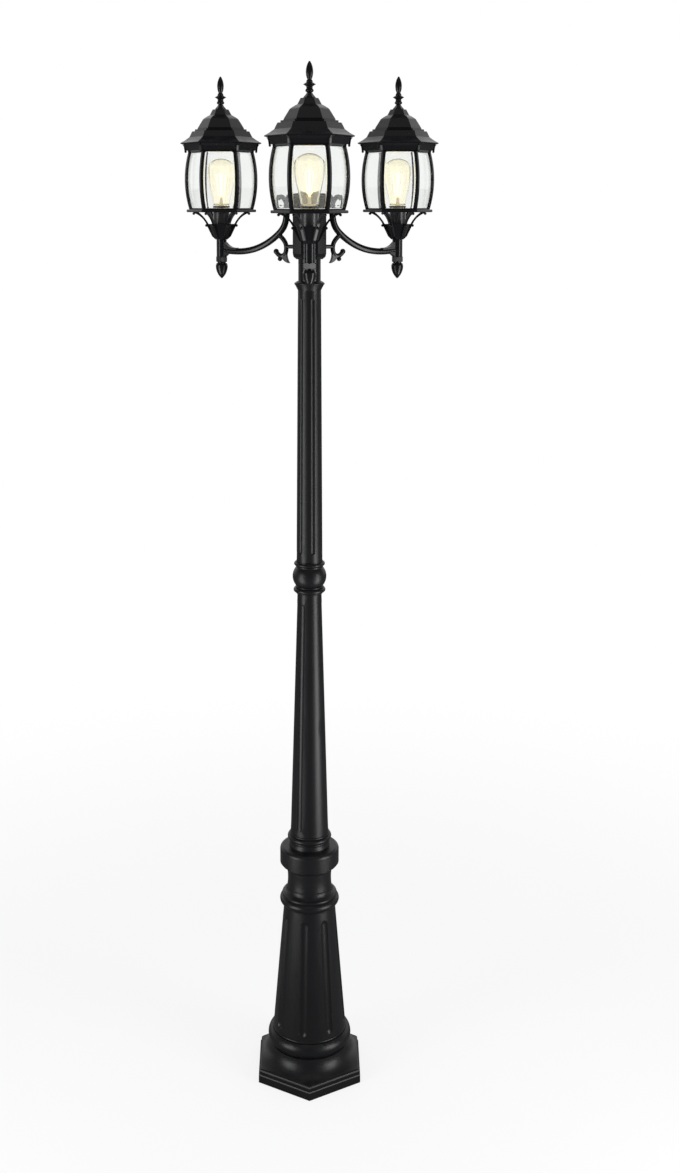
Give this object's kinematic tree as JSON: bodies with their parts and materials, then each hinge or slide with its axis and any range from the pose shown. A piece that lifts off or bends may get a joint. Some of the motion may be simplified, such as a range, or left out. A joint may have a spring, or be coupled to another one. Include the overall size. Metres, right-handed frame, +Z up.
{
  "type": "triple head lamp post",
  "caption": "Tall garden lamp post with stepped pedestal, fluted pole and hexagonal lanterns on scrolled arms.",
  "frame": {"origin": "on the post's axis, at the underside of the pedestal, at the centre of the anchor holes", "axes": "+Z up the post, -Y towards the front lantern, +X to the right of someone who faces it"},
  "size_m": [0.573, 0.4963, 2.2588],
  "materials": {
    "black_metal": "cast aluminium with a satin black powder coat",
    "pane_glass": "clear with bevelled edges",
    "bulb_glass": "clear, warm",
    "filament": "glowing rods on a glass mount",
    "nickel": "nickel-plated sheet",
    "brass": "plain sheet",
    "holder_plastic": "glossy black moulded body",
    "zinc_steel": "zinc-plated",
    "terminal_plastic": "moulded"
  },
  "bodies": {
    "post": {"pedestal": "black_metal", "anchor_plate": "zinc_steel", "tie_rod": "zinc_steel", "tie_rod_nut": "zinc_steel", "lower_pole": "black_metal", "pole_knuckle": "black_metal", "upper_pole": "black_metal", "hub": "black_metal", "hub_cap": "black_metal", "terminal_block": "terminal_plastic", "arm_fasteners": "zinc_steel", "socket_contacts": "brass", "front_cage": "black_metal", "front_glass_panes": "pane_glass", "front_tray": "black_metal", "front_cradle": "black_metal", "front_lampholder": "holder_plastic", "front_socket_shell": "brass", "front_nipple": "zinc_steel", "front_acorn_nut": "black_metal", "front_arm": "black_metal", "right_cage": "black_metal", "right_glass_panes": "pane_glass", "right_tray": "black_metal", "right_cradle": "black_metal", "right_lampholder": "holder_plastic", "right_socket_shell": "brass", "right_nipple": "zinc_steel", "right_acorn_nut": "black_metal", "right_arm": "black_metal", "left_cage": "black_metal", "left_glass_panes": "pane_glass", "left_tray": "black_metal", "left_cradle": "black_metal", "left_lampholder": "holder_plastic", "left_socket_shell": "brass", "left_nipple": "zinc_steel", "left_acorn_nut": "black_metal", "left_arm": "black_metal"},
    "front_roof_cover": {"front_roof": "black_metal", "front_roof_finial": "black_metal", "front_roof_screws": "zinc_steel"},
    "front_bulb_contact": {"front_bulb_tip": "brass"},
    "front_bulb": {"front_bulb_glass": "bulb_glass", "front_bulb_cap": "nickel", "front_bulb_filament": "filament"},
    "right_roof_cover": {"right_roof": "black_metal", "right_roof_finial": "black_metal", "right_roof_screws": "zinc_steel"},
    "right_bulb_contact": {"right_bulb_tip": "brass"},
    "right_bulb": {"right_bulb_glass": "bulb_glass", "right_bulb_cap": "nickel", "right_bulb_filament": "filament"},
    "left_roof_cover": {"left_roof": "black_metal", "left_roof_finial": "black_metal", "left_roof_screws": "zinc_steel"},
    "left_bulb_contact": {"left_bulb_tip": "brass"},
    "left_bulb": {"left_bulb_glass": "bulb_glass", "left_bulb_cap": "nickel", "left_bulb_filament": "filament"}
  },
  "joints": [
    {"name": "front_roof_lift", "type": "slide", "parent": "post", "child": "front_roof_cover", "axis": [0, 0, 1], "range_m": [0, 0.06]},
    {"name": "front_bulb_lift", "type": "slide", "parent": "post", "child": "front_bulb_contact", "axis": [0, 0, 1], "range_m": [0, 0.0109]},
    {"name": "front_bulb_spin", "type": "hinge", "parent": "front_bulb_contact", "child": "front_bulb", "pos_m": [0, -0.22704, 1.9648], "axis": [0, 0, 1], "range_deg": [0, 1080]},
    {"name": "right_roof_lift", "type": "slide", "parent": "post", "child": "right_roof_cover", "axis": [0, 0, 1], "range_m": [0, 0.06]},
    {"name": "right_bulb_lift", "type": "slide", "parent": "post", "child": "right_bulb_contact", "axis": [0, 0, 1], "range_m": [0, 0.0109]},
    {"name": "right_bulb_spin", "type": "hinge", "parent": "right_bulb_contact", "child": "right_bulb", "pos_m": [0.19662, 0.11352, 1.9648], "axis": [0, 0, 1], "range_deg": [0, 1080]},
    {"name": "left_roof_lift", "type": "slide", "parent": "post", "child": "left_roof_cover", "axis": [0, 0, 1], "range_m": [0, 0.06]},
    {"name": "left_bulb_lift", "type": "slide", "parent": "post", "child": "left_bulb_contact", "axis": [0, 0, 1], "range_m": [0, 0.0109]},
    {"name": "left_bulb_spin", "type": "hinge", "parent": "left_bulb_contact", "child": "left_bulb", "pos_m": [-0.19662, 0.11352, 1.9648], "axis": [0, 0, 1], "range_deg": [0, 1080]}
  ],
  "couplings": [
    {"joint": "front_bulb_lift", "follows": "front_bulb_spin", "m_per_rad": 0.00057773},
    {"joint": "right_bulb_lift", "follows": "right_bulb_spin", "m_per_rad": 0.00057773},
    {"joint": "left_bulb_lift", "follows": "left_bulb_spin", "m_per_rad": 0.00057773}
  ]
}
